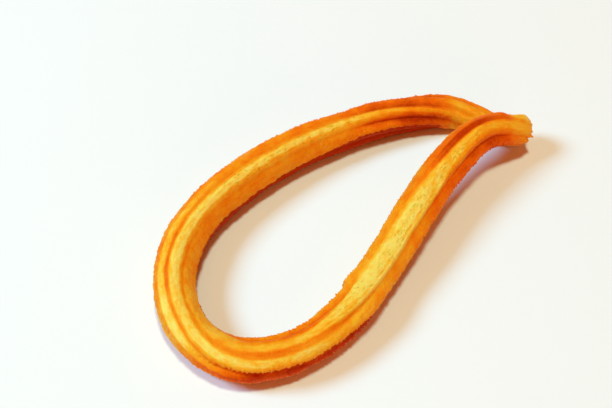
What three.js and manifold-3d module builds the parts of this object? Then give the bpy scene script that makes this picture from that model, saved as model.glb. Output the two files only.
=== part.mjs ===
// A loop churro: one strand of fluted fried dough, bent round into a teardrop and pressed together
// where its two ends meet. Millimetres, +Z up. The churro lies flat on z = 0 with its round end
// towards -X and the pressed, torn tip towards +X; the origin is under the middle of its outline.

import * as THREE from 'three';
import { mergeVertices } from 'three/addons/utils/BufferGeometryUtils.js';
import Module from 'manifold-3d';

// ---- Sizes of the flutes ----
const RIDGES = 7;              // ridges round the strand
const WIDE_RIDGE = 64;         // degrees taken by the one ridge that puffed up wider than the others
const GROOVE_DEPTH = 1.45;     // how far a groove lies below its ridges
const RIDGE_ROUNDNESS = 2.3;   // 1 gives straight flanks, higher values fuller ridges
const POINTS_ON_RIDGE = 4;
const POINTS_ON_WIDE_RIDGE = 6;
const TOOTH_HEIGHT = 0.3;      // how far a torn tooth stands up or falls short along a ridge

// ---- Sizes along the strand ----
const RING_STEP = 2.4;
const REST_SINK = 0.8;         // how much of the lowest ridge is flattened on the surface below
const END_ROUND = 3;           // length over which either end closes in
const END_RINGS = [0, 0.12, 0.36, 0.76];   // where extra rings stand on that length, as shares of it
const END_NARROW = 0.5;        // share of the thickness left at the very end
const END_BULGE = 0.8;         // how far the middle of an end stands out
const RAGGED_TIP = 1.4;        // unevenness of the torn tip's rim
const TIP_SLANT = 0.3;         // how much the torn face leans back on the outside of the loop
const TIP_SLANT_REACH = 9;     // distance from the tip over which that lean dies out

// The pinch behind the torn tip, pressed in from above.
const NECK = { at: 8, depth: 0.9, width: 2 };

// A tear along two ridges on the inside of the front strand: full before it, shrunk after it.
const TEAR = { at: 106, ridges: [4, 5, 6], full: 0.4, shrunk: 0.5, fullReach: 22, shrunkReach: 16 };

// The strand's route. It starts at the tip, comes back over the join as the front strand, turns
// round the loop and runs along the back strand, which ends pressed under the front one.
//   x, y    where the middle of the strand passes
//   lift    how far the strand is held up off the surface
//   radius  from the middle to the top of a ridge
//   turn    degrees that the wide ridge leans from straight up towards the outside of the loop
//   flute   share of the full groove depth
const ROUTE = [
  { x: 82.0, y: -10.3, lift: 1.8, radius: 6.1, turn: 36, flute: 0.4 },
  { x: 75.0, y: -7.7, lift: 5.0, radius: 6.8, turn: 34, flute: 0.7 },
  { x: 63.7, y: -4.7, lift: 7.6, radius: 7.5, turn: 30, flute: 1.0 },
  { x: 47.0, y: -6.3, lift: 7.3, radius: 7.9, turn: 25, flute: 1.0 },
  { x: 27.9, y: -12.5, lift: 4.9, radius: 8.1, turn: 17, flute: 0.9 },
  { x: 8.4, y: -21.0, lift: 2.3, radius: 8.2, turn: 12, flute: 0.9 },
  { x: -10.5, y: -29.2, lift: 0.6, radius: 8.1, turn: 11, flute: 0.9 },
  { x: -38.6, y: -37.7, lift: 0, radius: 7.7, turn: -7, flute: 1.0 },
  { x: -56.2, y: -36.2, lift: 0, radius: 7.7, turn: -8, flute: 1.0 },
  { x: -70.5, y: -27.9, lift: 0, radius: 7.9, turn: -17, flute: 1.0 },
  { x: -77.4, y: -11.2, lift: 0, radius: 7.8, turn: -42, flute: 0.9 },
  { x: -73.1, y: 9.0, lift: 0, radius: 8.1, turn: -60, flute: 0.9 },
  { x: -57.3, y: 25.7, lift: 0, radius: 8.4, turn: -71, flute: 0.95 },
  { x: -38.5, y: 33.3, lift: 0, radius: 8.6, turn: -75, flute: 1.0 },
  { x: -7.9, y: 37.1, lift: 0, radius: 8.6, turn: -79, flute: 1.0 },
  { x: 21.1, y: 34.0, lift: 0, radius: 7.9, turn: -74, flute: 1.0 },
  { x: 51.4, y: 25.1, lift: 0, radius: 7.4, turn: -89, flute: 1.0 },
  { x: 67.2, y: 13.9, lift: 0, radius: 6.9, turn: -112, flute: 0.6 },
  { x: 72.6, y: 4.1, lift: 0.3, radius: 6.1, turn: -122, flute: 0.35 },
  { x: 77.4, y: -5.4, lift: 0.8, radius: 5.0, turn: -126, flute: 0.3 },
];

const crust = new THREE.MeshStandardMaterial({ color: 0xe08a1e, roughness: 0.55, metalness: 0 });

// A smooth curve through values given at the stops (a natural cubic spline).
function splineThrough(stops, values) {
  const last = stops.length - 1;
  const bend = new Array(last + 1).fill(0);
  const carry = new Array(last + 1).fill(0);
  for (let i = 1; i < last; i += 1) {
    const before = stops[i] - stops[i - 1];
    const after = stops[i + 1] - stops[i];
    const share = before / (before + after);
    const pivot = share * carry[i - 1] + 2;
    const kink = (values[i + 1] - values[i]) / after - (values[i] - values[i - 1]) / before;
    carry[i] = (share - 1) / pivot;
    bend[i] = ((6 * kink) / (before + after) - share * bend[i - 1]) / pivot;
  }
  for (let i = last - 1; i > 0; i -= 1) {
    bend[i] += carry[i] * bend[i + 1];
  }
  return (at) => {
    let k = 0;
    while (k < last - 1 && at > stops[k + 1]) {
      k += 1;
    }
    const gap = stops[k + 1] - stops[k];
    const b = (at - stops[k]) / gap;
    const a = 1 - b;
    const curve = (a ** 3 - a) * bend[k] + (b ** 3 - b) * bend[k + 1];
    return a * values[k] + b * values[k + 1] + (curve * gap * gap) / 6;
  };
}

// Distance of each route row from the tip, measured in plan.
const stops = [0];
for (let i = 1; i < ROUTE.length; i += 1) {
  const step = Math.hypot(ROUTE[i].x - ROUTE[i - 1].x, ROUTE[i].y - ROUTE[i - 1].y);
  stops.push(stops[i - 1] + step);
}
const strandLength = stops[stops.length - 1];
const along = Object.fromEntries(
  ['x', 'y', 'lift', 'radius', 'turn', 'flute'].map((key) => [
    key,
    splineThrough(stops, ROUTE.map((row) => row[key])),
  ]),
);

// A scattered number between 0 and 1, always the same for the same whole number: the digits that
// are left of a sine once it is multiplied by a large number.
function scatter(n) {
  const v = Math.sin(n * 12.9898 + 4.1414) * 43758.5453;
  return v - Math.floor(v);
}

function middleAt(at) {
  const height = along.radius(at) - REST_SINK + along.lift(at);
  return new THREE.Vector3(along.x(at), along.y(at), height);
}

// The fluted section, as points round it. Ridge 0 is the wide one.
//   angle   degrees from the top of the wide ridge
//   depth   how far the point lies below the ridges, from 0 on a top to 1 in a groove
function fluteSection() {
  const narrow = (360 - WIDE_RIDGE) / (RIDGES - 1);
  const section = [];
  let start = -WIDE_RIDGE / 2;
  for (let ridge = 0; ridge < RIDGES; ridge += 1) {
    const width = ridge === 0 ? WIDE_RIDGE : narrow;
    const steps = ridge === 0 ? POINTS_ON_WIDE_RIDGE : POINTS_ON_RIDGE;
    for (let step = 0; step < steps; step += 1) {
      const across = step / steps;
      const depth = Math.abs(2 * across - 1) ** RIDGE_ROUNDNESS;
      section.push({ ridge, angle: start + across * width, depth, isTop: step * 2 === steps });
    }
    start += width;
  }
  return section;
}

const section = fluteSection();

// How much of its thickness the strand has near its ends.
function endFactor(at) {
  const inside = Math.min(at, strandLength - at);
  if (inside >= END_ROUND) {
    return 1;
  }
  const fall = 1 - inside / END_ROUND;
  return END_NARROW + (1 - END_NARROW) * Math.sqrt(1 - fall * fall);
}

// A smooth hump, 1 at its middle.
function hump(distance, width) {
  return Math.exp(-((distance / width) ** 2));
}

// How far the tear lifts or shrinks a ridge at a distance along the strand.
function tearAt(at, ridge) {
  if (!TEAR.ridges.includes(ridge)) {
    return 0;
  }
  const past = at - TEAR.at;
  return past < 0
    ? TEAR.full * Math.max(0, 1 + past / TEAR.fullReach)
    : -TEAR.shrunk * Math.max(0, 1 - past / TEAR.shrunkReach);
}

function directionAt(at) {
  const reach = 0.05;
  return middleAt(at + reach).sub(middleAt(at - reach)).normalize();
}

// One closed line of points round the strand.
function ringAt(at, number) {
  const ahead = directionAt(at);
  const outward = new THREE.Vector3(0, 0, 1).cross(ahead).normalize();
  const upward = ahead.clone().cross(outward);
  const middle = middleAt(at);
  const radius = along.radius(at);
  const torn = Math.max(0, 1 - at / END_ROUND) * RAGGED_TIP;
  const slant = TIP_SLANT * Math.max(0, 1 - at / TIP_SLANT_REACH);
  return section.map((flute, j) => {
    const chance = scatter(number * section.length + j) - 0.5;
    const tooth = flute.isTop ? 2 * chance * TOOTH_HEIGHT : 0;
    const depth = GROOVE_DEPTH * along.flute(at) * flute.depth;
    const angle = THREE.MathUtils.degToRad(along.turn(at) + flute.angle);
    const fromAbove = Math.max(0, Math.cos(angle));
    const pinch = NECK.depth * hump(at - NECK.at, NECK.width) * fromAbove;
    const full = radius - depth + tooth - pinch + tearAt(at, flute.ridge);
    const out = full * endFactor(at) + 2 * chance * torn;
    const point = middle.clone();
    point.addScaledVector(upward, out * Math.cos(angle));
    point.addScaledVector(outward, out * Math.sin(angle));
    point.addScaledVector(ahead, chance * torn + slant * out * Math.sin(angle));
    point.z = Math.max(point.z, 0);
    return point;
  });
}

// A closed skin over the rings from one distance to another.
function sweep(from, to) {
  const rings = to - from + 1;
  const size = section.length;
  const positions = [];
  const push = (point) => positions.push(point.x, point.y, point.z);
  for (let i = from; i <= to; i += 1) {
    ringAt(ringStops[i], i).forEach(push);
  }
  const endMiddle = (i, sign) => {
    const at = ringStops[i];
    const isEnd = i === 0 || i === ringStops.length - 1;
    return middleAt(at).addScaledVector(directionAt(at), isEnd ? sign * END_BULGE : 0);
  };
  push(endMiddle(from, -1));
  push(endMiddle(to, 1));
  const index = [];
  for (let i = 0; i < rings - 1; i += 1) {
    for (let j = 0; j < size; j += 1) {
      const a = i * size + j;
      const b = i * size + ((j + 1) % size);
      index.push(a, a + size, b, b, a + size, b + size);
    }
  }
  const first = rings * size;
  const lastRing = (rings - 1) * size;
  for (let j = 0; j < size; j += 1) {
    const next = (j + 1) % size;
    index.push(first, j, next);
    index.push(first + 1, lastRing + next, lastRing + j);
  }
  const geometry = new THREE.BufferGeometry();
  geometry.setAttribute('position', new THREE.Float32BufferAttribute(positions, 3));
  geometry.setIndex(index);
  return mergeVertices(geometry, 1e-5);
}

// Even steps along the strand, with a few closer ones where the ends close in.
function placeRings() {
  const close = END_RINGS.map((share) => share * END_ROUND);
  const between = strandLength - 2 * END_ROUND;
  const steps = Math.round(between / RING_STEP);
  const even = Array.from({ length: steps + 1 }, (_, i) => END_ROUND + (between * i) / steps);
  const farEnd = close.map((distance) => strandLength - distance).reverse();
  return [...close, ...even, ...farEnd];
}

const ringStops = placeRings();

const wasm = await Module();
wasm.setup();

function toSolid(geometry) {
  const vertProperties = new Float32Array(geometry.attributes.position.array);
  const triVerts = new Uint32Array(geometry.index.array);
  return new wasm.Manifold(new wasm.Mesh({ numProp: 3, vertProperties, triVerts }));
}

function toGeometry(solid) {
  const mesh = solid.getMesh();
  const geometry = new THREE.BufferGeometry();
  geometry.setAttribute('position', new THREE.BufferAttribute(mesh.vertProperties, 3));
  geometry.setIndex(new THREE.BufferAttribute(mesh.triVerts, 1));
  geometry.computeVertexNormals();
  return geometry;
}

// The strand crosses over itself at the join, so it is swept as two halves that share a ring at
// the round end of the loop, and the halves are then fused into one body.
const half = Math.round(ringStops.length / 2);
const front = toSolid(sweep(0, half));
const back = toSolid(sweep(half, ringStops.length - 1));
const churro = new THREE.Mesh(toGeometry(front.add(back)), crust);
churro.name = 'churro';

const model = new THREE.Group();
model.add(churro);

export default model;
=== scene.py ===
"""A loop churro: one fluted strand of fried dough, bent into a teardrop and pressed together at its ends.

The strand is swept from the same route as the solid that it stands for, with the finer relief of the
dough: full ridges, torn edges, swellings and the broken tip. Distances along the strand run from the
tip, back over the join as the front strand, round the loop and along the back strand, which ends
pressed under the front one. The route is in millimetres, and everything in Blender is in metres.
"""

import math
from collections import namedtuple

import bmesh
import bpy
import numpy as np
from bpy.props import FloatProperty, FloatVectorProperty, IntProperty, PointerProperty
from bpy.types import Operator, Panel, PropertyGroup
from mathutils import Matrix, Vector, kdtree, noise


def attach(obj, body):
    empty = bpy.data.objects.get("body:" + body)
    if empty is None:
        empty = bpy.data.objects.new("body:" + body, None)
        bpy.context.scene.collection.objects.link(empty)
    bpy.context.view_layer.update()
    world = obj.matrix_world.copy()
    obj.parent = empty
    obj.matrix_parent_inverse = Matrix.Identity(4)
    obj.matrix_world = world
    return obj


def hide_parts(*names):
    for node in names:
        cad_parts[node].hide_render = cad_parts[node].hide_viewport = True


bl_info = {
    "name": "Loop Churro",
    "version": (1, 0, 0),
    "blender": (4, 5, 0),
    "location": "3D View > Sidebar > Churro",
    "description": "Builds a loop churro with its fried crust, and a plain stage for it",
    "category": "Add Mesh",
}

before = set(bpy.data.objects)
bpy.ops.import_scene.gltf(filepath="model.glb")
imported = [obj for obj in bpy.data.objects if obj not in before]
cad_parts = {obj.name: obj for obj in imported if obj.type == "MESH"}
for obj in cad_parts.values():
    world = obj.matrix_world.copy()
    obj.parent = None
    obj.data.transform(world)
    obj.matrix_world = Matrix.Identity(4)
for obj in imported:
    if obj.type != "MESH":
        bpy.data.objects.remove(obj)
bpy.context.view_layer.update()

MM = 0.001
SEED = 11
SAME_PLACE = 0.1e-6     # two vertices closer than this, in metres, are one
PLACE_DIGITS = 9        # decimals to which the corners of doubled faces agree
MOVED_PLACE = 1e-6      # a vertex further than this, in metres, from every swept one is new

# ---- The strand's route, in millimetres ----
#   x, y    where the middle of the strand passes
#   lift    how far the strand is held up off the surface
#   radius  from the middle to the top of a ridge
#   turn    degrees that the wide ridge leans from straight up towards the outside of the loop
#   flute   share of the full groove depth
ROUTE_COLUMNS = ("x", "y", "lift", "radius", "turn", "flute")
ROUTE = (
    (82.0, -10.3, 1.8, 6.1, 36, 0.4),
    (75.0, -7.7, 5.0, 6.8, 34, 0.7),
    (63.7, -4.7, 7.6, 7.5, 30, 1.0),
    (47.0, -6.3, 7.3, 7.9, 25, 1.0),
    (27.9, -12.5, 4.9, 8.1, 17, 0.9),
    (8.4, -21.0, 2.3, 8.2, 12, 0.9),
    (-10.5, -29.2, 0.6, 8.1, 11, 0.9),
    (-38.6, -37.7, 0, 7.7, -7, 1.0),
    (-56.2, -36.2, 0, 7.7, -8, 1.0),
    (-70.5, -27.9, 0, 7.9, -17, 1.0),
    (-77.4, -11.2, 0, 7.8, -42, 0.9),
    (-73.1, 9.0, 0, 8.1, -60, 0.9),
    (-57.3, 25.7, 0, 8.4, -71, 0.95),
    (-38.5, 33.3, 0, 8.6, -75, 1.0),
    (-7.9, 37.1, 0, 8.6, -79, 1.0),
    (21.1, 34.0, 0, 7.9, -74, 1.0),
    (51.4, 25.1, 0, 7.4, -89, 1.0),
    (67.2, 13.9, 0, 6.9, -112, 0.6),
    (72.6, 4.1, 0.3, 6.1, -122, 0.35),
    (77.4, -5.4, 0.8, 5.0, -126, 0.3),
)
REST_SINK = 0.8         # how much of the lowest ridge is flattened on the surface below
WIDE_FLAT = 0.35        # how much flatter than round the wide ridge is

# ---- The ends ----
END_ROUND = 3.0         # length over which either end closes in
END_NARROW = 0.5        # share of the thickness left at the very end
END_BULGE = 0.8         # how far the middle of an end stands out
TIP_SLANT = 0.2         # how much the torn face leans back on the outside of the loop
TIP_SLANT_REACH = 9.0   # distance from the tip over which that lean dies out
# Corners of the torn face that broke off: angle, how far back, half width in degrees.
TIP_CORNERS = (
    (-80.0, 2.2, 42.0),
    (70.0, 0.7, 32.0),
)
TIP_CORNER_REACH = 5.0  # distance from the tip over which those dents die out
TIP_RAGGED = 0.75       # unevenness of the torn rim
TIP_RAGGED_REACH = 4.5

# ---- The strand's uneven places ----
# Angles go round the strand from the middle of the wide ridge, towards the outside of the loop.
#
# Lumps (above 0) and dents (below 0).
#   distance, angle, height, reach along the strand, reach round it in degrees
LUMPS = (
    (4.2, -60, 0.8, 2.6, 32),
    (5.0, 80, -0.8, 3.0, 26),
    (0.5, 84, -1.3, 2.6, 28),
    (9.2, -64, -0.5, 1.4, 26),
    (13.5, -62, 0.6, 3.2, 26),
    (0.0, -74, -0.9, 2.2, 34),
)

# A small tear on the inner side of the front strand: full before it, shrunk after it.
TEAR_AT = 108.5
TEAR_ANGLE = -80.0
TEAR_WIDTH = 18.0
TEAR_FULL, TEAR_FULL_REACH = 1.3, 6.5
TEAR_SHRUNK, TEAR_SHRUNK_REACH = 0.5, 12.0

# Ridges that stayed thin: ridge, from, to, how much thinner.
THIN_RIDGES = (
    (2, 12.0, 150.0, 0.6),
    (2, 28.0, 60.0, 0.8),
    (3, 28.0, 60.0, 1.4),
    (4, 28.0, 60.0, 1.6),
)

# Grooves that are shallower or deeper, and lighter or darker, than the rest. Groove n lies between
# ridge n and the next. Depth and tint are shares of the usual depth and of the usual darker colour,
# # which is partly deeper frying and partly painted shade in the groove.
Groove = namedtuple("Groove", "number, start, end, depth, tint")
UNEVEN_GROOVES = (
    Groove(6, 8.0, 48.0, 0.4, 0.5),
    Groove(6, 58.0, 106.0, 0.45, 0.5),
    Groove(5, 40.0, 112.0, 0.6, 0.4),
    Groove(0, 0.0, 8.0, 0.6, 0.6),
    Groove(0, 18.0, 60.0, 1.05, 0.8),
    Groove(0, 72.0, 116.0, 1.0, 0.45),
    Groove(0, 130.0, 304.0, 0.3, 0.0),
    Groove(2, 165.0, 240.0, 0.3, 0.0),
    Groove(0, 336.0, 346.0, 0.8, 1.0),
    Groove(1, 120.0, 165.0, 0.9, 0.28),
    Groove(1, 178.0, 304.0, 0.5, 0.25),
    Groove(1, 316.0, 346.0, 0.9, 0.5),
    Groove(5, 125.0, 210.0, 0.8, 1.0),
)
STRETCH_EASE = 12.0     # distance over which such a stretch begins and ends

# Torn lips along the strand. The skin stands out towards a lip in uneven teeth, falls back beyond it,
# # and is coloured darker there, as painted shade under the lip.
#   side     1 or -1, towards which the skin falls back
#   rise     how far the lip stands out
#   fall     how far the skin falls back
#   fried    how much darker the fallen skin is coloured: painted shade under the lip
#   uneven   how far the lip wanders round the strand, in degrees
#   teeth    height of its teeth
#   places   distances along the strand, with the lip's angle at each
Lip = namedtuple("Lip", "side, rise, fall, fried, uneven, teeth, places")
LIPS = (
    Lip(1, 0.45, 0.30, 0.22, 9.0, 0.7, ((6, 64), (30, 68), (110, 70), (150, 72), (164, 76), (174, 86))),
    Lip(-1, 0.40, 0.55, 0.80, 8.5, 0.9,
        ((190, -36), (204, -22), (222, -11), (290, -10), (310, 1), (346, 8))),
    Lip(-1, 0.15, 0.30, 0.0, 6.0, 0.9,
        ((16, -76), (26, -82), (60, -84), (110, -70), (130, -53), (186, -30))),
    Lip(1, 0.15, 0.30, 0.0, 6.0, 0.9,
        ((108, 96), (120, 104), (150, 118), (180, 130), (205, 130), (230, 127), (300, 119), (346, 126))),
)
LIP_EDGE = 2.0          # degrees round the strand from the top of a lip to the foot of its step
LIP_RISE = 28.0         # degrees over which the skin rises to a lip
LIP_REACH = 50.0        # degrees before the fallen skin is back as it was
LIP_TEETH = (15.0, 6.0)  # degrees that the teeth reach before a lip and beyond it
LIP_RUN_IN = 8.0        # distance from either end of a lip at which it is full
LIP_WAVE = 3.0          # length of a lip's slow wander, in tooth spacings
LIP_WAVE_SHARE = 0.8    # how far it wanders so, as a share of its unevenness

# Seams: fine lines along the strand, raised (height above 0) or sunken (below 0). Half is the half
# width in degrees, fried is how much darker it is coloured, and places are distances with its angle.
Seam = namedtuple("Seam", "height, half, fried, places")
SEAMS = (
    Seam(0.35, 5.0, 0.06, ((28, 12), (60, 19), (112, 20), (124, 18))),
    Seam(-0.20, 13.0, 0.0, ((44, -4), (112, -4))),
    Seam(-0.12, 3.0, 0.12, ((58, 10), (70, 11), (116, 13), (126, 12))),
    Seam(-0.15, 4.5, 0.07, ((150, 26), (190, 31), (220, 33), (310, 33))),
)

# Pale crests and darker streaks: at some distances, the crest's middle angle, its half width in
# # degrees, and how much paler it is coloured, or darker where that is below 0.
CRESTS = (
    ((2, 0, 12, 0.10), (12, -6, 9, 0.14), (22, -10, 7, 0.18), (40, -11, 11, 0.24), (50, -10, 16, 0.27),
     (60, -5, 27, 0.30), (104, -5, 27, 0.30), (118, 4, 18, 0.28), (138, 9, 5, 0.20), (164, 8, 5, 0.06)),
    ((122, 50, 4, 0.12), (150, 49, 6, 0.24), (185, 53, 9, 0.30), (215, 59, 10, 0.36), (250, 60, 5, 0.36),
     (300, 60, 4, 0.36), (330, 61, 3, 0.32), (344, 61, 3, 0.24)),
    ((168, 90, 6, 0.30), (184, 92, 10, 0.46), (205, 93, 5, 0.40), (226, 93, 4, 0.32), (250, 94, 5, 0.08)),
    ((120, -17, 4, -0.06), (133, -17, 7, -0.24), (150, -17, 7, -0.20), (160, -18, 4, -0.05)),
    ((14, -38, 6, -0.08), (26, -36, 9, -0.28), (42, -34, 8, -0.22), (50, -36, 5, -0.04)),
    ((90, 28, 4, 0.04), (106, 28, 5, 0.14), (116, 28, 5, 0.08)),
    ((124, 28, 5, -0.08), (150, 30, 6, -0.12), (176, 32, 5, -0.10), (200, 34, 3, -0.03)),
    ((205, 42, 4, 0.06), (230, 43, 6, 0.12), (300, 43, 6, 0.12), (326, 42, 5, 0.14), (334, 42, 4, 0.02)),
    ((170, 77, 3, -0.06), (190, 76, 4, -0.16), (215, 78, 5, -0.13), (240, 79, 5, -0.04)),
)
CREST_EDGE = 8.0        # degrees from the end of a crest to its shoulders

# How dark each ridge is coloured: 0 is the palest crust and 1 the darkest. This is mostly how much it
# # is fried, but the high levels of ridge 2 along the front strand and of ridge 6 along the back strand
# # are painted shade, where those ridges lie underneath in shadow.
#   distance, ridge 0, ridge 1, ridge 2, ridges 3 and 4, ridge 5, ridge 6
FRIED_AND_SHADE = (
    (0.4, 0.55, 0.60, 0.6, 0.60, 0.55, 0.50),
    (3.0, 0.32, 0.42, 0.6, 0.60, 0.30, 0.06),
    (7.5, 0.42, 0.62, 0.8, 0.62, 0.35, 0.20),
    (12.0, 0.51, 0.78, 0.8, 0.62, 0.55, 0.66),
    (20.0, 0.56, 0.84, 0.9, 0.62, 0.60, 0.74),
    (38.0, 0.47, 0.78, 0.9, 0.62, 0.50, 0.80),
    (55.0, 0.40, 0.69, 0.9, 0.62, 0.38, 0.62),
    (85.0, 0.30, 0.48, 0.9, 0.62, 0.35, 0.48),
    (110.0, 0.33, 0.42, 0.9, 0.62, 0.40, 0.46),
    (132.0, 0.47, 0.38, 0.78, 0.80, 0.50, 0.50),
    (157.0, 0.46, 0.38, 0.76, 0.80, 0.50, 0.50),
    (170.0, 0.33, 0.40, 0.54, 0.55, 0.62, 0.60),
    (185.0, 0.25, 0.42, 0.46, 0.42, 0.60, 1.0),
    (205.0, 0.43, 0.42, 0.62, 0.42, 0.60, 1.15),
    (230.0, 0.49, 0.44, 0.62, 0.45, 0.60, 1.15),
    (275.0, 0.45, 0.45, 0.60, 0.52, 0.62, 1.15),
    (300.0, 0.54, 0.50, 0.66, 0.62, 0.65, 1.15),
    (320.0, 0.64, 0.68, 0.76, 0.72, 0.70, 1.15),
    (334.0, 0.80, 0.78, 0.80, 0.76, 0.70, 1.15),
    (344.0, 0.78, 0.74, 0.76, 0.72, 0.70, 1.15),
    (353.0, 0.50, 0.42, 0.42, 0.60, 0.60, 0.80),
)
FRIED_COLUMN = (1, 2, 3, 4, 4, 5, 6)    # which column is each ridge's
GROOVE_FRY_AND_SHADE = 0.30                  # how much darker a full groove is coloured: partly deeper frying, partly painted shade
FRIED_LEAN = 0.5                        # share that the next ridge's level has at the groove between

# Stretches where small pores opened: ridge, from, to.
PORES = (
    (0, 32.0, 118.0),
    (1, 248.0, 306.0),
)

# ---- Torn teeth ----
TOOTH_WIDTHS = (0.5, 1.6)       # narrowest and widest tooth, as shares of the spacing
TOOTH_PEAKS = (0.55, 0.8)       # where a tooth has its peak, as a share of its width
TOOTH_TOPS = (0.05, 0.5)        # how high the peaks are
TOOTH_FEET = (-0.5, -0.1)       # how low the skin is between teeth
COARSE_LINES = (3, 8, 13)       # lines of teeth that are coarser; each ridge has two lines
COARSE_TEETH = 1.6              # how much wider the teeth of those are
TOOTH_SPARE = 10.0              # how far the teeth go on past the strand's end

# ---- The mesh ----
END_CAP_RINGS = 7               # rings that close an end
JOIN_EASE_REACH = 1.6 * MM      # how far from the join the surface is eased
JOIN_EASE_ROUNDS = 8
JOIN_EASE_SHARE = 0.6           # how far a point goes to its neighbours' middle in a round


class ChurroStrandSettings(PropertyGroup):
    """Sizes of the fluted strand."""

    ridges: IntProperty(name="Ridges", description="Ridges round the strand", default=7, min=3)
    wide_ridge: FloatProperty(
        name="Wide ridge",
        description="Angle taken by the one ridge that puffed up wider than the others",
        default=math.radians(64),
        subtype="ANGLE",
    )
    groove_depth: FloatProperty(
        name="Groove depth",
        description="How far a groove lies below its ridges",
        default=1.5 * MM,
        unit="LENGTH",
    )
    fullness: FloatProperty(
        name="Ridge fullness",
        description="Higher values give flatter tops and steeper sides",
        default=2.7,
    )
    wide_fullness: FloatProperty(
        name="Wide ridge fullness", description="The same for the wide ridge", default=3.4
    )
    groove_softness: FloatProperty(
        name="Groove softness",
        description="Above 1 the bottom of a groove is rounded",
        default=1.5,
    )
    tooth_height: FloatProperty(
        name="Tooth height",
        description="Height of the torn teeth on the sides of a ridge",
        default=0.90 * MM,
        unit="LENGTH",
    )
    tooth_spacing: FloatProperty(
        name="Tooth spacing",
        description="Usual distance from one torn tooth to the next",
        default=1.25 * MM,
        unit="LENGTH",
    )
    roughness: FloatProperty(
        name="Roughness",
        description="Height of the fine crumbs on the sides of the strand",
        default=0.16 * MM,
        unit="LENGTH",
    )
    swelling: FloatProperty(
        name="Swelling",
        description="How far a ridge swells and shrinks along its length",
        default=0.28 * MM,
        unit="LENGTH",
    )
    blister: FloatProperty(
        name="Blisters",
        description="Height of the small lumps in the skin",
        default=0.12 * MM,
        unit="LENGTH",
    )
    ring_step: FloatProperty(
        name="Ring step",
        description="Distance between the rings of the mesh along the strand",
        default=0.39 * MM,
        unit="LENGTH",
    )
    ridge_points: IntProperty(
        name="Ridge points", description="Points of the mesh across a ridge", default=13, min=4
    )


class ChurroCrustSettings(PropertyGroup):
    """Colours and finish of the crust, from the palest to the most fried; the darker ones also paint shade.
    """

    puffed: FloatVectorProperty(
        name="Puffed",
        description="Palest skin, on top of the puffed ridges",
        default=(0.86, 0.665, 0.125),
        subtype="COLOR",
    )
    yellow: FloatVectorProperty(
        name="Yellow", description="Lightly fried skin", default=(0.87, 0.46, 0.026), subtype="COLOR"
    )
    golden: FloatVectorProperty(
        name="Golden", description="Well fried skin", default=(0.86, 0.285, 0.006), subtype="COLOR"
    )
    amber: FloatVectorProperty(
        name="Amber", description="Grooves and flanks", default=(0.82, 0.140, 0.002), subtype="COLOR"
    )
    # The darkest colour: the most fried skin, and also painted shade on the back strand's underside and
    # beyond the torn lips.
    deep_fried_and_shade: FloatVectorProperty(
        name="Deep", description="The most fried skin", default=(0.50, 0.035, 0.0005), subtype="COLOR"
    )
    pore: FloatVectorProperty(
        name="Pore",
        description="How the small pores tint the skin",
        default=(0.84, 0.75, 0.42),
        subtype="COLOR",
    )
    pore_size: FloatProperty(
        name="Pore size", description="Distance between pores", default=0.85 * MM, unit="LENGTH"
    )
    mottle_size: FloatProperty(
        name="Mottle size",
        description="Size of the paler and darker spots",
        default=1.2 * MM,
        unit="LENGTH",
    )
    fold_size: FloatProperty(
        name="Fold size",
        description="Length along the strand of one fine fold across it",
        default=0.7 * MM,
        unit="LENGTH",
    )


class ChurroStageSettings(PropertyGroup):
    """The floor, the lights and the camera."""

    floor_colour: FloatVectorProperty(
        name="Floor", description="Colour of the floor", default=(0.86, 0.87, 0.86), subtype="COLOR"
    )
    window_colour: FloatVectorProperty(
        name="Window light",
        description="Colour of the wide light from the left",
        default=(0.30, 0.69, 1.0),
        subtype="COLOR",
    )
    window_power: FloatProperty(
        name="Window power", description="Power of that light", default=63.0, unit="POWER"
    )
    lamp_colour: FloatVectorProperty(
        name="Lamp light",
        description="Colour of the light from above",
        default=(0.79, 1.0, 0.73),
        subtype="COLOR",
    )
    lamp_power: FloatProperty(
        name="Lamp power", description="Power of that light", default=32.5, unit="POWER"
    )
    fill_colour: FloatVectorProperty(
        name="Fill light",
        description="Colour of the low light from the front",
        default=(1.0, 0.72, 0.36),
        subtype="COLOR",
    )
    fill_power: FloatProperty(
        name="Fill power", description="Power of that light", default=8.5, unit="POWER"
    )
    room_colour: FloatVectorProperty(
        name="Room colour",
        description="Colour of the light from all round",
        default=(1.0, 0.26, 0.07),
        subtype="COLOR",
    )
    room_light: FloatProperty(
        name="Room light", description="Strength of that light", default=0.45
    )
    camera_azimuth: FloatProperty(
        name="Camera azimuth",
        description="Where the camera stands round the churro, from the -Y side",
        default=math.radians(-36.13),
        subtype="ANGLE",
    )
    camera_elevation: FloatProperty(
        name="Camera elevation",
        description="How far the camera looks down",
        default=math.radians(53.4),
        subtype="ANGLE",
    )
    camera_roll: FloatProperty(
        name="Camera roll",
        description="How far the camera is turned about its own axis",
        default=math.radians(0.7),
        subtype="ANGLE",
    )
    camera_place: FloatVectorProperty(
        name="Camera place",
        description="Where the camera stands",
        default=(-0.1386, -0.1604, 0.295),
        subtype="TRANSLATION",
        unit="LENGTH",
    )
    camera_lens: FloatProperty(
        name="Camera lens", description="Focal length in millimetres", default=54.7
    )


# ---- The strand's form ----


def smoothstep(low, high, value):
    """0 below low, 1 above high, and an easy rise between."""
    share = np.clip((value - low) / (high - low), 0, 1)
    return share * share * (3 - 2 * share)


def hump(distance, width):
    """A smooth hump, 1 at its middle."""
    return np.exp(-((distance / width) ** 2))


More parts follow.
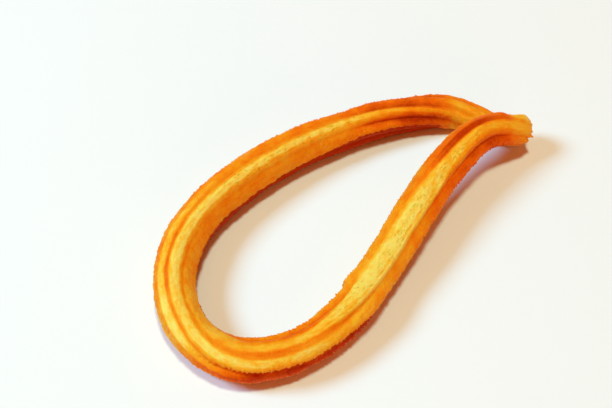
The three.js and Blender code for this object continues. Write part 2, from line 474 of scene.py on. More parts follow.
def natural_spline(stops, values):
    """A natural cubic spline through the values at the stops, as a function."""
    gaps = np.diff(stops)
    count = len(stops)
    matrix = np.eye(count)
    kinks = np.zeros(count)
    for i in range(1, count - 1):
        before, after = gaps[i - 1], gaps[i]
        matrix[i, i - 1 : i + 2] = before, 2 * (before + after), after
        kinks[i] = (values[i + 1] - values[i]) / after - (values[i] - values[i - 1]) / before
    bend = np.linalg.solve(matrix, 6 * kinks)

    def value_at(at):
        k = np.clip(np.searchsorted(stops, at) - 1, 0, count - 2)
        b = (at - stops[k]) / gaps[k]
        a = 1 - b
        curve = (a**3 - a) * bend[k] + (b**3 - b) * bend[k + 1]
        return a * values[k] + b * values[k + 1] + curve * gaps[k] ** 2 / 6

    return value_at


class Route:
    """The middle line of the strand and what changes along it, in millimetres."""

    def __init__(self):
        rows = np.array(ROUTE, float)
        steps = np.hypot(*np.diff(rows[:, :2], axis=0).T)
        self.stops = np.concatenate([[0.0], np.cumsum(steps)])
        self.length = self.stops[-1]
        for column, name in enumerate(ROUTE_COLUMNS):
            setattr(self, name, natural_spline(self.stops, rows[:, column]))

    def middle(self, at):
        height = self.radius(at) - REST_SINK + self.lift(at)
        return np.stack([self.x(at), self.y(at), height], axis=-1)

    def directions(self, at):
        """Unit vectors ahead, towards the loop's outside, and up across the strand."""
        reach = 0.05
        ahead = self.middle(at + reach) - self.middle(at - reach)
        ahead /= np.linalg.norm(ahead, axis=-1, keepdims=True)
        outward = np.cross([0.0, 0.0, 1.0], ahead)
        outward /= np.linalg.norm(outward, axis=-1, keepdims=True)
        return ahead, outward, np.cross(ahead, outward)


class Section:
    """The points round the strand: the ridge each lies on, its angle, and its place across the ridge."""

    DETAIL = (1.5, 1.5, 1.0, 0.7, 0.7, 0.7, 1.0)    # how finely each ridge is divided

    def __init__(self, settings):
        wide = math.degrees(settings.wide_ridge)
        narrow = (360 - wide) / (settings.ridges - 1)
        ridge, across, angle = [], [], []
        start = -wide / 2
        for number in range(settings.ridges):
            width = wide if number == 0 else narrow
            detail = self.DETAIL[number % len(self.DETAIL)]
            points = round(settings.ridge_points * detail * width / narrow)
            for step in range(points):
                ridge.append(number)
                across.append(2 * step / points - 1)
                angle.append((start + width * step / points + 180) % 360 - 180)
            start += width
        self.ridges = settings.ridges
        self.ridge = np.array(ridge)
        self.across = np.array(across)
        self.angle = np.array(angle)
        self.count = len(ridge)
        self.groove = np.where(self.across > 0, self.ridge, self.ridge - 1) % settings.ridges


def torn_line(length, spacing, random):
    """Uneven saw teeth along a line, as a function: each rises slowly and breaks off short."""
    places, heights = [0.0], [0.0]
    while places[-1] < length:
        width = spacing * random.uniform(*TOOTH_WIDTHS)
        peak = places[-1] + width * random.uniform(*TOOTH_PEAKS)
        places += [peak, places[-1] + width]
        heights += [random.uniform(*TOOTH_TOPS), random.uniform(*TOOTH_FEET)]
    return lambda at: np.interp(at, places, heights)


def noise_field(points, size, offset):
    """Smooth noise from about -1 to 1 at an array of points, with lumps of the given size. Another
    offset gives other lumps."""
    flat = points.reshape(-1, 3) / size + offset
    values = [noise.noise(Vector(place)) for place in flat]
    return np.array(values).reshape(points.shape[:-1])


def stretch(at, start, end):
    """1 from start to end along the strand, with an eased beginning and end."""
    return smoothstep(start - STRETCH_EASE, start, at) * (1 - smoothstep(end, end + STRETCH_EASE, at))


class Skin:
    """The strand's surface on a grid of rings and points, in millimetres."""

    TOOTH_SKEW = 0.35       # how far the folds lean back from a ridge's top to its sides
    TOOTH_ON_TOP = 0.80     # share of a tooth that shows on top of its ridge
    TOOTHED = (0.2, 0.25, 0.6, 1.0, 1.0, 1.0, 0.4)  # share of the teeth that each ridge has
    TOOTH_IN_GROOVE = 0.35  # share of a tooth that shows in the grooves beside it
    FACE_UP = 0.08          # share of the teeth and crumbs that shows where the strand faces up
    WANDER = 1.8            # degrees that the ridges wander round the strand
    FAR_TEETH = 1.4         # how much higher the teeth are on the back strand
    BACK_STRAND = (200.0, 250.0)    # distances between which they grow to that
    TOOTH_MEAN, TOOTH_SPREAD = 0.75, 0.5    # share of the height they have, and how far it varies
    FACING_UP = (0.45, 0.85)        # sines of the angle from straight up where skin stops facing up
    BODY_POWER = 3                  # keeps a ridge's swellings off its foot
    TINT_POWER = 2.5                # keeps the darker colour to the bottom of a groove

    # Places across a ridge: -1 and 1 are the grooves beside it and 0 is its top.
    LEFT_TO_RIGHT = (-0.5, 0.5)     # where the left side's teeth go over into the right side's
    TOP_TO_SIDE = (0.2, 0.6)        # where a ridge's top goes over into its sides
    SIDE_TO_GROOVE = (0.75, 0.95)   # where a side goes over into the groove
    BESIDE_PORES = (0.45, 0.8)      # where the pores close
    LEAN_FROM = (0.7, 0.4)          # where the next ridge's level sets in, on the wide ridge and others

    # Lengths of the slow changes and sizes of the lumps.
    WANDER_LENGTH = 25.0
    SWELL_LENGTH = 13.0
    SWELL_APART, SWELL_LAYER = 7.3, 0.4     # give each ridge swellings of its own
    TOOTH_PATCH = 9.0
    CRUMB = 0.85
    SMALL_BLISTER, LARGE_BLISTER = 1.3, 3.1
    LARGE_BLISTER_SHARE = 1.3       # how much higher the large ones are
    RAG, FINE_RAG = 1.8, 0.9        # rags of the torn rim
    RAG_ALONG = 0.3                 # makes them longer along the strand than round it
    FINE_RAG_SHARE = 0.35           # how high the fine ones are beside the others
    RAG_PAST_TIP = 0.9              # share of a rag's height that it also stands out past the tip

    def __init__(self, settings):
        self.route = Route()
        self.section = Section(settings)
        self.settings = settings
        random = np.random.default_rng(SEED)
        length = self.route.length + TOOTH_SPARE
        spacing = settings.tooth_spacing / MM
        self.teeth = []
        for line in range(2 * settings.ridges):
            wider = COARSE_TEETH if line in COARSE_LINES else 1
            self.teeth.append(torn_line(length, spacing * wider, random))
        self.lips = []
        for _ in LIPS:
            fine = torn_line(length, spacing, random)
            self.lips.append((fine, torn_line(length, LIP_WAVE * spacing, random)))

    def along_grooves(self, at, what):
        """The share of the usual depth or tint that the grooves have, at each ring and point."""
        share = np.ones((len(at), self.section.count))
        for groove in UNEVEN_GROOVES:
            here = self.section.groove == groove.number
            change = (getattr(groove, what) - 1) * stretch(at, groove.start, groove.end)
            share[:, here] *= 1 + change[:, None]
        return share * self.route.flute(at)[:, None]

    def ridge_body(self):
        """1 on top of a ridge and 0 in the grooves, for each point of the section."""
        return 1 - np.abs(self.section.across) ** self.BODY_POWER

    def groove_fall(self):
        """0 on top of a ridge and 1 at the bottom of a groove, for each point of the section."""
        wide = self.section.ridge == 0
        fullness = np.where(wide, self.settings.wide_fullness, self.settings.fullness)
        edge = np.abs(self.section.across) ** fullness
        return 1 - (1 - edge) ** self.settings.groove_softness

    def tooth_relief(self, at):
        """Torn teeth across the ridges, from -0.5 to 0.5."""
        relief = np.zeros((len(at), self.section.count))
        for j in range(self.section.count):
            across = self.section.across[j]
            skewed = at + self.TOOTH_SKEW * abs(across) * self.route.radius(at)
            left = self.teeth[2 * self.section.ridge[j]](skewed)
            right = self.teeth[2 * self.section.ridge[j] + 1](skewed)
            side = smoothstep(*self.LEFT_TO_RIGHT, across)
            edge = self.TOOTH_ON_TOP + (1 - self.TOOTH_ON_TOP) * smoothstep(*self.TOP_TO_SIDE, abs(across))
            foot = 1 - (1 - self.TOOTH_IN_GROOVE) * smoothstep(*self.SIDE_TO_GROOVE, abs(across))
            share = edge * foot * self.TOOTHED[self.section.ridge[j] % len(self.TOOTHED)]
            relief[:, j] = (left * (1 - side) + right * side) * share
        return relief

    def beyond_lip(self, at, lip, fine, coarse):
        """Degrees from a torn lip towards its fallen side, at each ring and point."""
        places = np.array(lip.places, float)
        wander = lip.uneven * (fine(at) + LIP_WAVE_SHARE * coarse(at))
        edge = np.interp(at, places[:, 0], places[:, 1]) + wander
        return lip.side * (self.section.angle[None, :] - edge[:, None])

    def lip_shares(self, at, lip, lines):
        """How far each ring and point has risen towards a lip and fallen beyond it, and its teeth."""
        beyond = self.beyond_lip(at, lip, *lines)
        start, end = lip.places[0][0], lip.places[-1][0]
        here = stretch(at, start + LIP_RUN_IN, end - LIP_RUN_IN)[:, None]
        reach = np.where(beyond < 0, *LIP_TEETH)
        teeth = here * hump(beyond, reach) * lines[0](at)[:, None]
        fallen = smoothstep(-LIP_EDGE / 2, LIP_EDGE / 2, beyond)
        risen = smoothstep(-LIP_RISE, 0, beyond) * (1 - fallen)
        fallen = fallen * (1 - smoothstep(LIP_REACH / 2, LIP_REACH, beyond))
        return risen * here, fallen * here, teeth

    def seam_share(self, at, seam):
        """1 in the middle of a seam and 0 away from it, at each ring and point."""
        places = np.array(seam.places, float)
        middle = np.interp(at, places[:, 0], places[:, 1])[:, None]
        here = stretch(at, places[0, 0], places[-1, 0])[:, None]
        return here * hump(self.section.angle[None, :] - middle, seam.half)

    def uneven_relief(self, at):
        """Lumps, dents, thin ridges, seams, torn lips and the tear."""
        section = self.section
        relief = np.zeros((len(at), section.count))
        for distance, angle, height, along, around in LUMPS:
            relief += height * hump(at - distance, along)[:, None] * hump(section.angle - angle, around)
        for ridge, start, end, thinner in THIN_RIDGES:
            body = (section.ridge == ridge) * self.ridge_body()
            relief -= thinner * stretch(at, start, end)[:, None] * body
        for seam in SEAMS:
            relief += seam.height * self.seam_share(at, seam)
        for lip, lines in zip(LIPS, self.lips):
            risen, fallen, teeth = self.lip_shares(at, lip, lines)
            relief += lip.rise * risen - lip.fall * fallen + lip.teeth * teeth
        past = at - TEAR_AT
        full = TEAR_FULL * np.clip(1 + past / TEAR_FULL_REACH, 0, 1) * (past < 0)
        shrunk = TEAR_SHRUNK * np.clip(1 - past / TEAR_SHRUNK_REACH, 0, 1) * (past >= 0)
        return relief + (full - shrunk)[:, None] * hump(section.angle - TEAR_ANGLE, TEAR_WIDTH)

    def end_factor(self, at):
        """How much of its thickness the strand has near its ends."""
        inside = np.minimum(at, self.route.length - at)
        fall = 1 - np.clip(inside / END_ROUND, 0, 1)
        return END_NARROW + (1 - END_NARROW) * np.sqrt(1 - fall * fall)

    def angles(self, at):
        """The true angle of each ring and point round the strand, in radians, 0 straight up."""
        along = np.stack([at / self.WANDER_LENGTH, np.zeros_like(at), np.zeros_like(at)], axis=-1)
        wander = self.WANDER * 2 * noise_field(along, 1.0, 3.7)
        return np.radians(self.route.turn(at)[:, None] + self.section.angle[None, :] + wander[:, None])

    def straightened(self, at, share):
        """Where each point would be if the strand lay straight, as a place for noise and colour."""
        around = np.radians(self.section.angle)[None, :]
        radius = self.route.radius(at)[:, None]
        straight = np.empty((len(at), self.section.count, 3))
        straight[..., 0] = at[:, None]
        straight[..., 1] = radius * share[:, None] * np.sin(around)
        straight[..., 2] = radius * share[:, None] * np.cos(around)
        return straight

    def swelling(self, at):
        """How far each ridge swells or shrinks, about -1 to 1, at each ring and point."""
        section = self.section
        ridge_line = np.empty((len(at), section.ridges, 3))
        ridge_line[..., 0] = at[:, None] / self.SWELL_LENGTH
        ridge_line[..., 1] = self.SWELL_APART * np.arange(section.ridges)[None, :]
        ridge_line[..., 2] = self.SWELL_LAYER
        return noise_field(ridge_line, 1.0, 0.0)[:, section.ridge]

    def thickness(self, at, straight, sine):
        """How far the skin lies from the middle of the strand, at each ring and point."""
        route, section, settings = self.route, self.section, self.settings
        radius = route.radius(at)[:, None]
        depth = settings.groove_depth / MM * self.along_grooves(at, "depth") * self.groove_fall()[None, :]
        torn = np.clip(route.flute(at), 0, 1)[:, None]
        back = smoothstep(*self.BACK_STRAND, at)[:, None]
        height = settings.tooth_height / MM * torn * (1 + (self.FAR_TEETH - 1) * back)
        varied = self.TOOTH_MEAN + self.TOOTH_SPREAD * noise_field(straight, self.TOOTH_PATCH, 17.0)
        sides = self.FACE_UP + (1 - self.FACE_UP) * smoothstep(*self.FACING_UP, np.abs(sine))
        crumbs = settings.roughness / MM * 2 * noise_field(straight, self.CRUMB, 23.0)
        blister = settings.blister / MM
        full = radius - depth + sides * (height * varied * self.tooth_relief(at) + crumbs)
        full -= WIDE_FLAT * (section.ridge == 0) * (1 - section.across**2)
        full += settings.swelling / MM * 2 * self.swelling(at) * self.ridge_body()[None, :]
        full += blister * noise_field(straight, self.SMALL_BLISTER, 5.0)
        full += blister * self.LARGE_BLISTER_SHARE * noise_field(straight, self.LARGE_BLISTER, 9.0)
        return full + self.uneven_relief(at)

    def torn_rim(self, at, straight):
        """How far the torn rim of the tip stands out, at each ring and point."""
        ragged = np.clip(1 - at / TIP_RAGGED_REACH, 0, 1)[:, None]
        rim = noise_field(straight * [self.RAG_ALONG, 1, 1], self.RAG, 31.0)
        rim = rim + self.FINE_RAG_SHARE * noise_field(straight, self.FINE_RAG, 37.0)
        return TIP_RAGGED * ragged * 2 * rim

    def grid(self, at, share):
        """Points of the surface. Share is 1 along the strand and falls to 0 at the middle of an end."""
        route, section = self.route, self.section
        ahead, outward, upward = route.directions(at)
        angle = self.angles(at)
        sine, cosine = np.sin(angle), np.cos(angle)
        straight = self.straightened(at, share)
        full = self.thickness(at, straight, sine)
        rim = self.torn_rim(at, straight)
        out = (full * self.end_factor(at)[:, None] + rim * share[:, None]) * share[:, None]
        slant = TIP_SLANT * np.clip(1 - at / TIP_SLANT_REACH, 0, 1)[:, None]
        bulge = END_BULGE * (1 - share**2) * np.where(at < route.length / 2, -1, 1)
        forward = bulge[:, None] + slant * out * sine - rim * self.RAG_PAST_TIP
        corner = np.clip(1 - at / TIP_CORNER_REACH, 0, 1)[:, None] * share[:, None]
        for middle, back, half in TIP_CORNERS:
            forward += corner * back * hump(section.angle - middle, half)

        points = route.middle(at)[:, None, :] + upward[:, None, :] * (out * cosine)[..., None]
        points = points + outward[:, None, :] * (out * sine)[..., None]
        points = points + ahead[:, None, :] * forward[..., None]
        points[..., 2] = np.maximum(points[..., 2], 0)
        return points, straight

    def pores(self, at):
        """How open the pores are at each ring and point."""
        section = self.section
        share = np.zeros((len(at), section.count))
        for ridge, start, end in PORES:
            top = (section.ridge == ridge) * (1 - smoothstep(*self.BESIDE_PORES, np.abs(section.across)))
            share += stretch(at, start, end)[:, None] * top[None, :]
        return share

    def fried(self, at):
        """How dark each point of the crust is coloured: 0 is the palest and 1 the darkest. It is how much it
        is fried, with painted shade added in the grooves, beyond the torn lips and on the shaded undersides.
        """
        section = self.section
        table = np.array(FRIED_AND_SHADE)
        ridge_level = np.stack([np.interp(at, table[:, 0], table[:, n]) for n in FRIED_COLUMN], axis=-1)
        own = ridge_level[:, section.ridge]
        step = np.where(section.across > 0, 1, -1)
        beside = ridge_level[:, (section.ridge + step) % section.ridges]
        wide = section.ridge == 0
        lean_from = np.where(wide, *self.LEAN_FROM)
        lean = FRIED_LEAN * smoothstep(lean_from, 1.0, np.abs(section.across))[None, :]
        level = own * (1 - lean) + beside * lean
        # Darker towards the bottom of each groove: partly deeper frying, partly painted shade in the groove.
        tint = np.where(wide, self.groove_fall(), np.abs(section.across) ** self.TINT_POWER)
        level = level + GROOVE_FRY_AND_SHADE * tint[None, :] * self.along_grooves(at, "tint")
        for places in CRESTS:
            distance, middle, half, paler = np.array(places, float).T
            away = np.abs(section.angle[None, :] - np.interp(at, distance, middle)[:, None])
            edge = np.interp(at, distance, half)[:, None]
            share = np.interp(at, distance, paler) * stretch(at, distance[0], distance[-1])
            level = level - share[:, None] * (1 - smoothstep(edge, edge + CREST_EDGE, away))
        for seam in SEAMS:
            level = level + seam.fried * self.seam_share(at, seam)
        # Painted shade: the skin that falls back beyond a torn lip is coloured darker, under the lip.
        for lip, lines in zip(LIPS, self.lips):
            level = level + lip.fried * self.lip_shares(at, lip, lines)[1]
        return level


class StrandMesh:
    """Rings of the skin from one distance to another, closed at both ends."""

    def __init__(self, skin, start, end, closes_start, closes_end):
        step = skin.settings.ring_step / MM
        rings = max(2, round((end - start) / step))
        at = np.linspace(start, end, rings + 1)
        share = np.ones_like(at)
        cap = np.linspace(0, 1, END_CAP_RINGS + 2)[1:-1]
        if closes_start:
            at = np.concatenate([np.full(len(cap), start), at])
            share = np.concatenate([cap, share])
        if closes_end:
            at = np.concatenate([at, np.full(len(cap), end)])
            share = np.concatenate([share, cap[::-1]])
        points, straight = skin.grid(at, share)
        level = skin.fried(at)
        masks = np.stack([level, skin.pores(at)], axis=-1)
        first, last = points[0].mean(axis=0), points[-1].mean(axis=0)
        self.points = np.concatenate([points.reshape(-1, 3), [first, last]]) * MM
        ends = [straight[0].mean(axis=0), straight[-1].mean(axis=0)]
        self.straight = np.concatenate([straight.reshape(-1, 3), ends]) * MM
        ends = [masks[0].mean(axis=0), masks[-1].mean(axis=0)]
        self.masks = np.concatenate([masks.reshape(-1, masks.shape[-1]), ends])
        self.faces = self.make_faces(len(at), skin.section.count)

    @staticmethod
    def make_faces(rings, count):
        index = np.arange(rings * count).reshape(rings, count)
        after = np.roll(index, -1, axis=1)
        sides = np.stack([index[:-1], index[1:], after[1:], after[:-1]], axis=-1).reshape(-1, 4)
        first, last = rings * count, rings * count + 1
        start_fan = [(first, int(a), int(b)) for a, b in zip(index[0], after[0])]
        end_fan = [(last, int(b), int(a)) for a, b in zip(index[-1], after[-1])]
        return sides.tolist() + start_fan + end_fan

    def to_object(self, name):
        mesh = bpy.data.meshes.new(name)
        mesh.from_pydata(self.points, [], self.faces)
        mesh.update()
        made = bpy.data.objects.new(name, mesh)
        bpy.context.collection.objects.link(made)
        return made


def drop_doubled_faces(mesh):
    """Deletes pairs of faces that lie on each other, which a union leaves where its halves meet."""
    work = bmesh.new()
    work.from_mesh(mesh)
    on_corners = {}
    for face in work.faces:
        corners = frozenset(vertex.co.to_tuple(PLACE_DIGITS) for vertex in face.verts)
        on_corners.setdefault(corners, []).append(face)
    doubled = [face for faces in on_corners.values() if len(faces) > 1 for face in faces]
    bmesh.ops.delete(work, geom=doubled, context="FACES")
    bmesh.ops.remove_doubles(work, verts=work.verts, dist=SAME_PLACE)
    work.to_mesh(mesh)
    work.free()


def fuse(first, second, name):
    """One object from two closed ones, which are deleted."""
    union = first.modifiers.new("Fuse", "BOOLEAN")
    union.operation = "UNION"
    union.solver = "MANIFOLD"
    union.object = second
    result = first.evaluated_get(bpy.context.evaluated_depsgraph_get())
    mesh = bpy.data.meshes.new_from_object(result)
    drop_doubled_faces(mesh)
    made = bpy.data.objects.new(name, mesh)
    mesh.name = name
    bpy.context.collection.objects.link(made)
    for old in (first, second):
        bpy.data.objects.remove(old, do_unlink=True)
    return made


def carry_masks(made, sources):
    """Gives each vertex what the nearest vertex of the swept halves says, and returns the new ones."""
    places = np.concatenate([half.points for half in sources])
    tree = kdtree.KDTree(len(places))
    for number, place in enumerate(places):
        tree.insert(place, number)
    tree.balance()
    found = [tree.find(vertex.co) for vertex in made.data.vertices]
    nearest = np.array([index for _, index, _ in found])
    away = np.array([distance for _, _, distance in found])
    straight = np.concatenate([half.straight for half in sources])[nearest]
    masks = np.concatenate([half.masks for half in sources])[nearest]
    attributes = made.data.attributes
    attributes.new("straight", "FLOAT_VECTOR", "POINT").data.foreach_set("vector", straight.ravel())
    # The 'fried' level is the crust's colour level, painted shade included.
    for column, name in enumerate(("fried", "pores")):
        attributes.new(name, "FLOAT", "POINT").data.foreach_set("value", masks[:, column])
    return np.nonzero(away > MOVED_PLACE)[0]


def ease_join(made, new_vertices):
    """Softens the line where the two ends of the dough were pressed together."""
    mesh = made.data
    count = len(mesh.vertices)
    places = np.empty(count * 3)
    mesh.vertices.foreach_get("co", places)
    places = places.reshape(-1, 3)
    line = kdtree.KDTree(len(new_vertices))
    for number, index in enumerate(new_vertices):
        line.insert(places[index], number)
    line.balance()
    away = np.array([line.find(place)[2] for place in places])
    share = (1 - np.clip(away / JOIN_EASE_REACH, 0, 1))[:, None] * JOIN_EASE_SHARE
    edges = np.empty(len(mesh.edges) * 2, int)
    mesh.edges.foreach_get("vertices", edges)
    edges = edges.reshape(-1, 2)
    both = np.concatenate([edges, edges[:, ::-1]])
    neighbours = np.bincount(both[:, 0], minlength=count)[:, None]
    for _ in range(JOIN_EASE_ROUNDS):
        total = np.zeros((count, 3))
        np.add.at(total, both[:, 0], places[both[:, 1]])
        places = places + share * (total / neighbours - places)
    mesh.vertices.foreach_set("co", places.ravel())
    mesh.update()


# ---- Materials ----

NOISE_MIDDLE = (0.3, 0.7)       # nearly all values of a noise lie between these
MOTTLE_MIDDLE = (0.32, 0.68)

# How far each kind of unevenness moves the crust's colour, up or down.
PATCH_TINT = 0.07
MOTTLE_TINT = 0.10
FOLD_TINT = 0.015
GRAIN_TINT = 0.04
MOTTLE_END = 1.15               # the more fried, the less mottled: at this level there would be none

PATCH_SIZE = 7 * MM
GRAIN_SIZE = 0.45 * MM
OPEN_PATCH_SIZE = 6 * MM        # of the places where pores opened
OPEN_PATCHES = (0.32, 0.52)     # noise over which those places begin
OPEN_PORES = (0.54, 0.68)       # and noise over which a pore does

# Shares of the crust's bump.
FOLD_BUMP = 0.4
MOTTLE_BUMP = 0.35
PORE_BUMP = 0.3

SPECKLE_SIZE = 60 * MM          # of the floor


class Nodes:
    """Short calls for building a node tree."""

    def __init__(self, tree):
        self.tree = tree

    def add(self, kind, values=None, **settings):
        """A node. Values are given to its inputs, as constants or as links from other nodes."""
        node = self.tree.nodes.new(kind)
        for name, value in settings.items():
            setattr(node, name, value)
        for socket, value in (values or {}).items():
            self.feed(node.inputs[socket], value)
        return node

    def feed(self, socket, value):
        if isinstance(value, bpy.types.NodeSocket):
            self.tree.links.new(value, socket)
        else:
            socket.default_value = value

    def maths(self, operation, first, second=0.0, clamp=False):
        node = self.add("ShaderNodeMath", {0: first, 1: second}, operation=operation, use_clamp=clamp)
        return node.outputs[0]

    def band(self, value, low, high, start=0.0, end=1.0):
        """Value from low to high as start to end, eased."""
        inputs = {"Value": value, "From Min": low, "From Max": high, "To Min": start, "To Max": end}
        node = self.add("ShaderNodeMapRange", inputs, interpolation_type="SMOOTHSTEP")
        return node.outputs[0]

    def noise(self, place, size, detail=2.0, roughness=0.5):
        inputs = {"Vector": place, "Scale": 1 / size, "Detail": detail, "Roughness": roughness}
        return self.add("ShaderNodeTexNoise", inputs).outputs["Fac"]

    MIX_COLOURS, MIX_RESULT = (6, 7), 2     # the colour sockets of a Mix node

    def mix(self, factor, first, second, blend="MIX"):
        node = self.add("ShaderNodeMix", {"Factor": factor}, data_type="RGBA", blend_type=blend)
        for socket, colour in zip(self.MIX_COLOURS, (first, second)):
            self.feed(node.inputs[socket], colour)
        return node.outputs[self.MIX_RESULT]

    def stretched(self, place, x, y, z):
        inputs = {0: place, 1: (x, y, z)}
        return self.add("ShaderNodeVectorMath", inputs, operation="MULTIPLY").outputs[0]

    def attribute(self, name, output):
        node = self.add("ShaderNodeAttribute", attribute_name=name, attribute_type="GEOMETRY")
        return node.outputs[output]


def opaque(colour):
    return (*colour, 1.0)


def new_material(name):
    material = bpy.data.materials.new(name)
    material.use_nodes = True
    material.node_tree.nodes.clear()
    return material, Nodes(material.node_tree)


def fried_crust_and_shade(settings):
    """Golden crust: pale on puffed tops, amber in grooves, with fine folds across it and small pores.
    Its colour level also carries painted shade in the grooves, beyond the torn lips and on the undersides.
    """
    material, nodes = new_material("fried_crust_and_shade")
    place = nodes.attribute("straight", "Vector")
    # The 'fried' level also holds painted shade in the grooves, beyond the torn lips and on the undersides.
    fried = nodes.attribute("fried", "Fac")
    pore_zone = nodes.attribute("pores", "Fac")

    patches = nodes.noise(place, PATCH_SIZE, detail=3)
    mottle = nodes.noise(nodes.stretched(place, 0.4, 1, 1), settings.mottle_size, detail=3, roughness=0.6)
    folds = nodes.noise(nodes.stretched(place, 1, 0.22, 0.22), settings.fold_size, detail=3)
    grain = nodes.noise(place, GRAIN_SIZE, detail=2)

    level = nodes.maths("ADD", fried, nodes.band(patches, *NOISE_MIDDLE, -PATCH_TINT, PATCH_TINT))
    pale = nodes.maths("SUBTRACT", MOTTLE_END, fried)
    spots = nodes.band(mottle, *MOTTLE_MIDDLE, -MOTTLE_TINT, MOTTLE_TINT)
    level = nodes.maths("ADD", level, nodes.maths("MULTIPLY", spots, pale))
    level = nodes.maths("ADD", level, nodes.band(folds, *NOISE_MIDDLE, -FOLD_TINT, FOLD_TINT))
    grains = nodes.band(grain, *NOISE_MIDDLE, -GRAIN_TINT, GRAIN_TINT)
    level = nodes.maths("ADD", level, grains, clamp=True)
    ramp = nodes.add("ShaderNodeValToRGB", {"Fac": level})
    scale = (settings.puffed, settings.yellow, settings.golden, settings.amber, settings.deep_fried_and_shade)
    stops = ramp.color_ramp.elements
    for number in range(1, len(scale) - 1):
        stops.new(number / (len(scale) - 1))
    for stop, colour in zip(stops, scale):
        stop.color = opaque(colour)

    stretched = nodes.stretched(place, 0.5, 1, 1)
    open_here = nodes.band(nodes.noise(place, OPEN_PATCH_SIZE), *OPEN_PATCHES)
    pore = nodes.band(nodes.noise(stretched, settings.pore_size, detail=1), *OPEN_PORES)
    pore = nodes.maths("MULTIPLY", pore, nodes.maths("MULTIPLY", open_here, pore_zone))
    colour = nodes.mix(pore, ramp.outputs["Color"], opaque(settings.pore), blend="MULTIPLY")

    height = nodes.maths("ADD", nodes.maths("MULTIPLY", folds, FOLD_BUMP), grain)
    height = nodes.maths("ADD", height, nodes.maths("MULTIPLY", mottle, MOTTLE_BUMP))
    height = nodes.maths("SUBTRACT", height, nodes.maths("MULTIPLY", pore, PORE_BUMP))
    bump = nodes.add("ShaderNodeBump", {"Height": height, "Strength": 0.6, "Distance": 0.25 * MM})
    shader = nodes.add(
        "ShaderNodeBsdfPrincipled",
        {
            "Base Color": colour,
            "Roughness": nodes.band(patches, *NOISE_MIDDLE, 0.42, 0.56),
            "Normal": bump.outputs[0],
            "Specular IOR Level": 0.10,
            "Specular Tint": opaque((1.0, 0.55, 0.2)),
            "Subsurface Weight": 0.60,
            "Subsurface Radius": (1.0, 0.25, 0.06),
            "Subsurface Scale": 4.0 * MM,
        },
    )
    nodes.add("ShaderNodeOutputMaterial", {"Surface": shader.outputs[0]})
    return material


def pale_floor(settings):
    """A plain pale floor with a very faint unevenness."""
    material, nodes = new_material("pale_floor")
    place = nodes.add("ShaderNodeTexCoord").outputs["Object"]
    speckle = nodes.noise(place, SPECKLE_SIZE, detail=2)
    shader = nodes.add(
        "ShaderNodeBsdfPrincipled",
        {
            "Base Color": opaque(settings.floor_colour),
            "Roughness": nodes.band(speckle, *NOISE_MIDDLE, 0.55, 0.65),
            "Specular IOR Level": 0.2,
        },
    )
    nodes.add("ShaderNodeOutputMaterial", {"Surface": shader.outputs[0]})
    return material


# ---- Operators ----


class CHURRO_OT_strand(Operator):
    """Sweep the fluted strand, fuse its two halves and give it its crust"""

    bl_idname = "churro.strand"
    bl_label = "Fried strand"

    def execute(self, context):
        settings = context.scene.churro_strand
        skin = Skin(settings)
        middle = skin.route.length / 2
        front = StrandMesh(skin, 0.0, middle, True, False)
        back = StrandMesh(skin, middle, skin.route.length, False, True)
        strand = fuse(front.to_object("front_half"), back.to_object("back_half"), "fried_strand")
        if not strand.data.polygons:
            raise RuntimeError("the two halves of the strand could not be fused")
        new_vertices = carry_masks(strand, (front, back))
        ease_join(strand, new_vertices)
        strand.data.shade_smooth()
        strand.data.materials.clear()
        strand.data.materials.append(fried_crust_and_shade(context.scene.churro_crust))
        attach(strand, "root")
        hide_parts("churro")
        return {"FINISHED"}


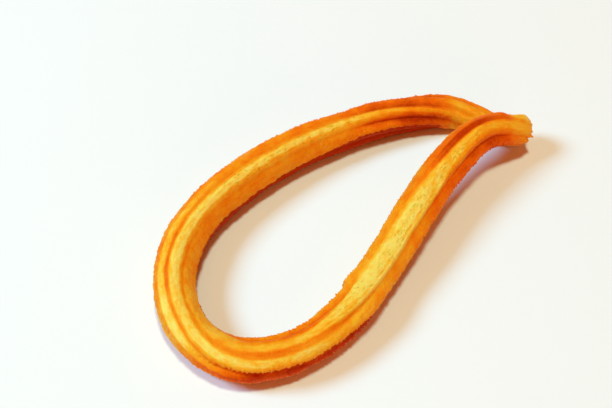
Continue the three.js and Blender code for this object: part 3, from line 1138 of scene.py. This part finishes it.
class CHURRO_OT_stage(Operator):
    """Lay the floor and place the lights and the camera"""

    bl_idname = "churro.stage"
    bl_label = "Stage"

    FLOOR_SIZE = 6.0
    LIGHT_DISTANCE = 2.5
    WINDOW_TOWARDS = (-0.76, 0.05, 0.64)    # to the right of the view, away from it, and up
    WINDOW_SIZE = 0.85
    LAMP_TOWARDS = (0.04, 0.03, 0.99)
    LAMP_SIZE = 0.42
    FILL_TOWARDS = (0.15, -0.95, 0.22)
    FILL_SIZE = 1.0
    BACKDROP_COLOUR = (1.0, 0.98, 0.95)
    BACKDROP_STRENGTH = 0.9

    def add_light(self, context, name, towards, size, colour, power):
        azimuth = context.scene.churro_stage.camera_azimuth
        direction = Matrix.Rotation(azimuth, 3, "Z") @ Vector(towards).normalized()
        light = bpy.data.lights.new(name, "AREA")
        light.shape = "DISK"
        light.size = size
        light.color = colour
        light.energy = power
        made = bpy.data.objects.new(name, light)
        made.location = direction * self.LIGHT_DISTANCE
        made.rotation_euler = direction.to_track_quat("Z", "Y").to_euler()
        context.collection.objects.link(made)

    def add_floor(self, context):
        half = self.FLOOR_SIZE / 2
        mesh = bpy.data.meshes.new("floor")
        corners = [(-half, -half, 0), (half, -half, 0), (half, half, 0), (-half, half, 0)]
        mesh.from_pydata(corners, [], [(0, 1, 2, 3)])
        mesh.materials.append(pale_floor(context.scene.churro_stage))
        floor = bpy.data.objects.new("floor", mesh)
        context.collection.objects.link(floor)

    def add_room(self, context):
        """Even light from all round, with a pale backdrop behind everything."""
        world = bpy.data.worlds.new("room")
        world.use_nodes = True
        world.node_tree.nodes.clear()
        nodes = Nodes(world.node_tree)
        settings = context.scene.churro_stage
        lit = nodes.add(
            "ShaderNodeBackground",
            {"Color": opaque(settings.room_colour), "Strength": settings.room_light},
        )
        seen = nodes.add(
            "ShaderNodeBackground",
            {"Color": opaque(self.BACKDROP_COLOUR), "Strength": self.BACKDROP_STRENGTH},
        )
        ray = nodes.add("ShaderNodeLightPath")
        mixed = nodes.add(
            "ShaderNodeMixShader",
            {0: ray.outputs["Is Camera Ray"], 1: lit.outputs[0], 2: seen.outputs[0]},
        )
        nodes.add("ShaderNodeOutputWorld", {"Surface": mixed.outputs[0]})
        context.scene.world = world

    def add_camera(self, context):
        settings = context.scene.churro_stage
        camera = bpy.data.cameras.new("camera")
        camera.sensor_width = 36
        camera.lens = settings.camera_lens
        camera.clip_start = 0.01
        made = bpy.data.objects.new("camera", camera)
        turned = Matrix.Rotation(settings.camera_azimuth, 4, "Z")
        tilted = Matrix.Rotation(math.pi / 2 - settings.camera_elevation, 4, "X")
        rolled = Matrix.Rotation(settings.camera_roll, 4, "Z")
        made.matrix_world = Matrix.Translation(settings.camera_place) @ turned @ tilted @ rolled
        context.collection.objects.link(made)
        context.scene.camera = made

    def execute(self, context):
        settings = context.scene.churro_stage
        self.add_floor(context)
        self.add_room(context)
        lights = (
            ("window", self.WINDOW_TOWARDS, self.WINDOW_SIZE, settings.window_colour, settings.window_power),
            ("lamp", self.LAMP_TOWARDS, self.LAMP_SIZE, settings.lamp_colour, settings.lamp_power),
            ("fill", self.FILL_TOWARDS, self.FILL_SIZE, settings.fill_colour, settings.fill_power),
        )
        for light in lights:
            self.add_light(context, *light)
        self.add_camera(context)
        context.scene.view_settings.view_transform = "Standard"
        return {"FINISHED"}


class CHURRO_PT_panel(Panel):
    """Lists the churro's pieces and their settings"""

    bl_idname = "CHURRO_PT_panel"
    bl_label = "Loop Churro"
    bl_space_type = "VIEW_3D"
    bl_region_type = "UI"
    bl_category = "Churro"

    def draw(self, context):
        layout = self.layout
        for settings in (context.scene.churro_strand, context.scene.churro_crust):
            box = layout.box()
            for name in settings.__annotations__:
                box.prop(settings, name)
        layout.operator(CHURRO_OT_strand.bl_idname)
        box = layout.box()
        for name in ChurroStageSettings.__annotations__:
            box.prop(context.scene.churro_stage, name)
        layout.operator(CHURRO_OT_stage.bl_idname)


CLASSES = (
    ChurroStrandSettings,
    ChurroCrustSettings,
    ChurroStageSettings,
    CHURRO_OT_strand,
    CHURRO_OT_stage,
    CHURRO_PT_panel,
)


def register():
    for cls in CLASSES:
        bpy.utils.register_class(cls)
    bpy.types.Scene.churro_strand = PointerProperty(type=ChurroStrandSettings)
    bpy.types.Scene.churro_crust = PointerProperty(type=ChurroCrustSettings)
    bpy.types.Scene.churro_stage = PointerProperty(type=ChurroStageSettings)


def unregister():
    del bpy.types.Scene.churro_stage
    del bpy.types.Scene.churro_crust
    del bpy.types.Scene.churro_strand
    for cls in reversed(CLASSES):
        bpy.utils.unregister_class(cls)


def main():
    register()
    bpy.ops.churro.strand()
    bpy.ops.churro.stage()


if __name__ == "__main__":
    main()
